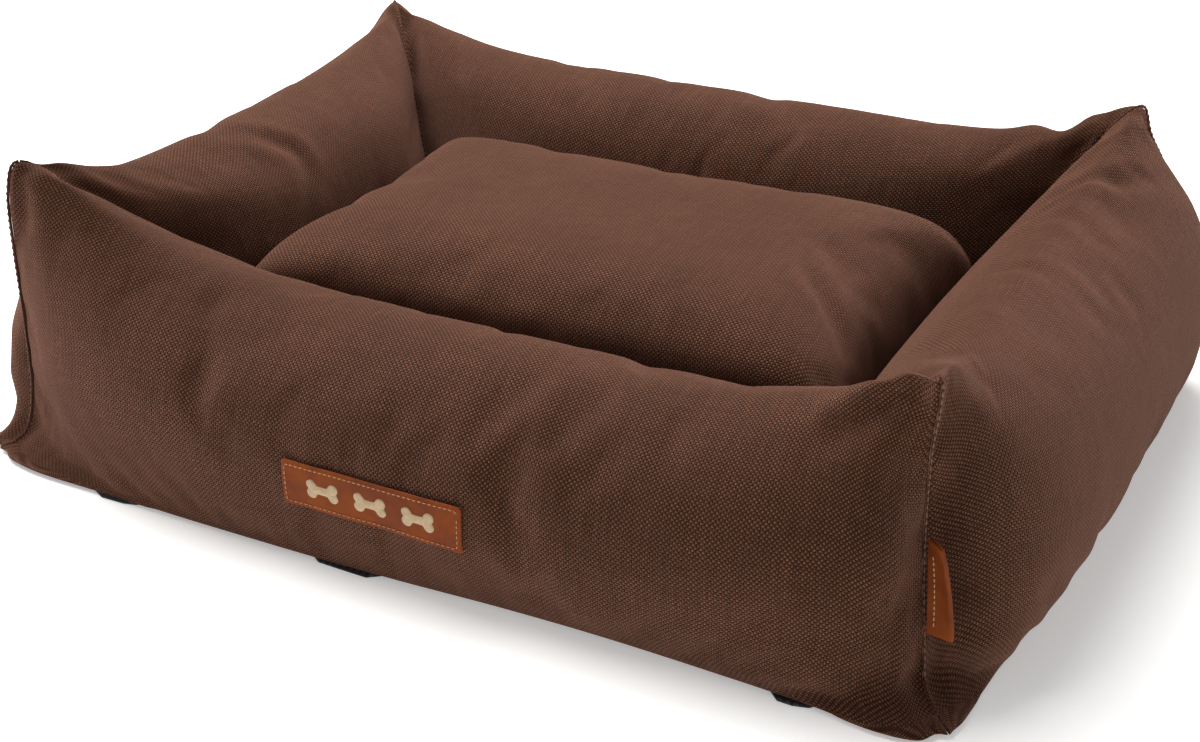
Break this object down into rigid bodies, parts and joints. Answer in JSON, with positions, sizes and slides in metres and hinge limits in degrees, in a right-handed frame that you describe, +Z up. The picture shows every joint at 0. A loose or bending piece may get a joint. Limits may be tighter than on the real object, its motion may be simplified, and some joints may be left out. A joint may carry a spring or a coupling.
{
  "type": "pet cushion bed",
  "caption": "Rectangular pet bed with stuffed canvas walls that rise to pointed corner ears around a loose filled cushion, with hidden zips, a leather label and a corner tag.",
  "frame": {"origin": "middle of the bed's underside, on the ground", "axes": "+X along the bed's length towards its right-hand end, +Y to the back wall, away from the labelled front wall, +Z up"},
  "size_m": [0.64, 0.4824, 0.181],
  "materials": {
    "canvas": "coarse basket-woven dark brown canvas, lighter along the ridges",
    "cushion_canvas": "the same dark brown canvas on the loose cushion",
    "non_slip": "black non-slip backing cloth",
    "fibre_fill": "white polyester fibre",
    "zip_tape": "brown woven tape with a nylon coil",
    "zip_metal": "dark bronze painted metal",
    "tan_leather": "cognac brown leather, semi matt",
    "thread": "cream embroidery and sewing thread"
  },
  "bodies": {
    "bed": {"base_panel": "non_slip", "floor_panel": "canvas", "front_wall_cover": "canvas", "front_wall_fill": "fibre_fill", "back_wall_cover": "canvas", "back_wall_fill": "fibre_fill", "left_wall_cover": "canvas", "left_wall_fill": "fibre_fill", "right_wall_cover": "canvas", "right_wall_fill": "fibre_fill", "front_zip_tape_upper": "zip_tape", "front_zip_tape_lower": "zip_tape", "back_zip_tape_upper": "zip_tape", "back_zip_tape_lower": "zip_tape", "left_zip_tape_upper": "zip_tape", "left_zip_tape_lower": "zip_tape", "right_zip_tape_upper": "zip_tape", "right_zip_tape_lower": "zip_tape", "front_label": "tan_leather", "label_stitching": "thread", "label_bone_1": "thread", "label_bone_2": "thread", "label_bone_3": "thread"},
    "cushion": {"cushion_top_panel": "cushion_canvas", "cushion_bottom_panel": "cushion_canvas", "cushion_fill": "fibre_fill", "cushion_zip_tape_upper": "zip_tape", "cushion_zip_tape_lower": "zip_tape"},
    "tag": {"corner_tag": "tan_leather", "corner_tag_stitching": "thread"},
    "front_slider": {"front_zip_slider": "zip_metal"},
    "front_pull": {"front_zip_pull": "zip_metal"},
    "back_slider": {"back_zip_slider": "zip_metal"},
    "back_pull": {"back_zip_pull": "zip_metal"},
    "left_slider": {"left_zip_slider": "zip_metal"},
    "left_pull": {"left_zip_pull": "zip_metal"},
    "right_slider": {"right_zip_slider": "zip_metal"},
    "right_pull": {"right_zip_pull": "zip_metal"},
    "cushion_slider": {"cushion_zip_slider": "zip_metal"},
    "cushion_pull": {"cushion_zip_pull": "zip_metal"}
  },
  "joints": [
    {"name": "cushion_lift", "type": "slide", "parent": "bed", "child": "cushion", "axis": [0, 0, 1], "range_m": [0, 0.22]},
    {"name": "front_zip_travel", "type": "slide", "parent": "bed", "child": "front_slider", "axis": [-1, 0, 0], "range_m": [0, 0.331]},
    {"name": "front_pull_flip", "type": "hinge", "parent": "front_slider", "child": "front_pull", "pos_m": [0.1655, -0.1192, 0.022], "axis": [0, 0, -1], "range_deg": [0, 180]},
    {"name": "back_zip_travel", "type": "slide", "parent": "bed", "child": "back_slider", "axis": [1, 0, 0], "range_m": [0, 0.331]},
    {"name": "back_pull_flip", "type": "hinge", "parent": "back_slider", "child": "back_pull", "pos_m": [-0.1655, 0.1192, 0.022], "axis": [0, 0, -1], "range_deg": [0, 180]},
    {"name": "left_zip_travel", "type": "slide", "parent": "bed", "child": "left_slider", "axis": [0, 1, 0], "range_m": [0, 0.171]},
    {"name": "left_pull_flip", "type": "hinge", "parent": "left_slider", "child": "left_pull", "pos_m": [-0.1992, -0.0855, 0.022], "axis": [0, 0, -1], "range_deg": [0, 180]},
    {"name": "right_zip_travel", "type": "slide", "parent": "bed", "child": "right_slider", "axis": [0, -1, 0], "range_m": [0, 0.171]},
    {"name": "right_pull_flip", "type": "hinge", "parent": "right_slider", "child": "right_pull", "pos_m": [0.1992, 0.0855, 0.022], "axis": [0, 0, -1], "range_deg": [0, 180]},
    {"name": "cushion_zip_travel", "type": "slide", "parent": "cushion", "child": "cushion_slider", "axis": [-1, 0, 0], "range_m": [0, 0.223]},
    {"name": "cushion_pull_flip", "type": "hinge", "parent": "cushion_slider", "child": "cushion_pull", "pos_m": [0.1115, 0.0848, 0.022], "axis": [0, 0, -1], "range_deg": [0, 180]},
    {"name": "tag_swing", "type": "hinge", "parent": "bed", "child": "tag", "pos_m": [0.27926, -0.19926, 0.042], "axis": [-0.0664, 0.0664, 0.9956], "range_deg": [-60, 50]}
  ]
}
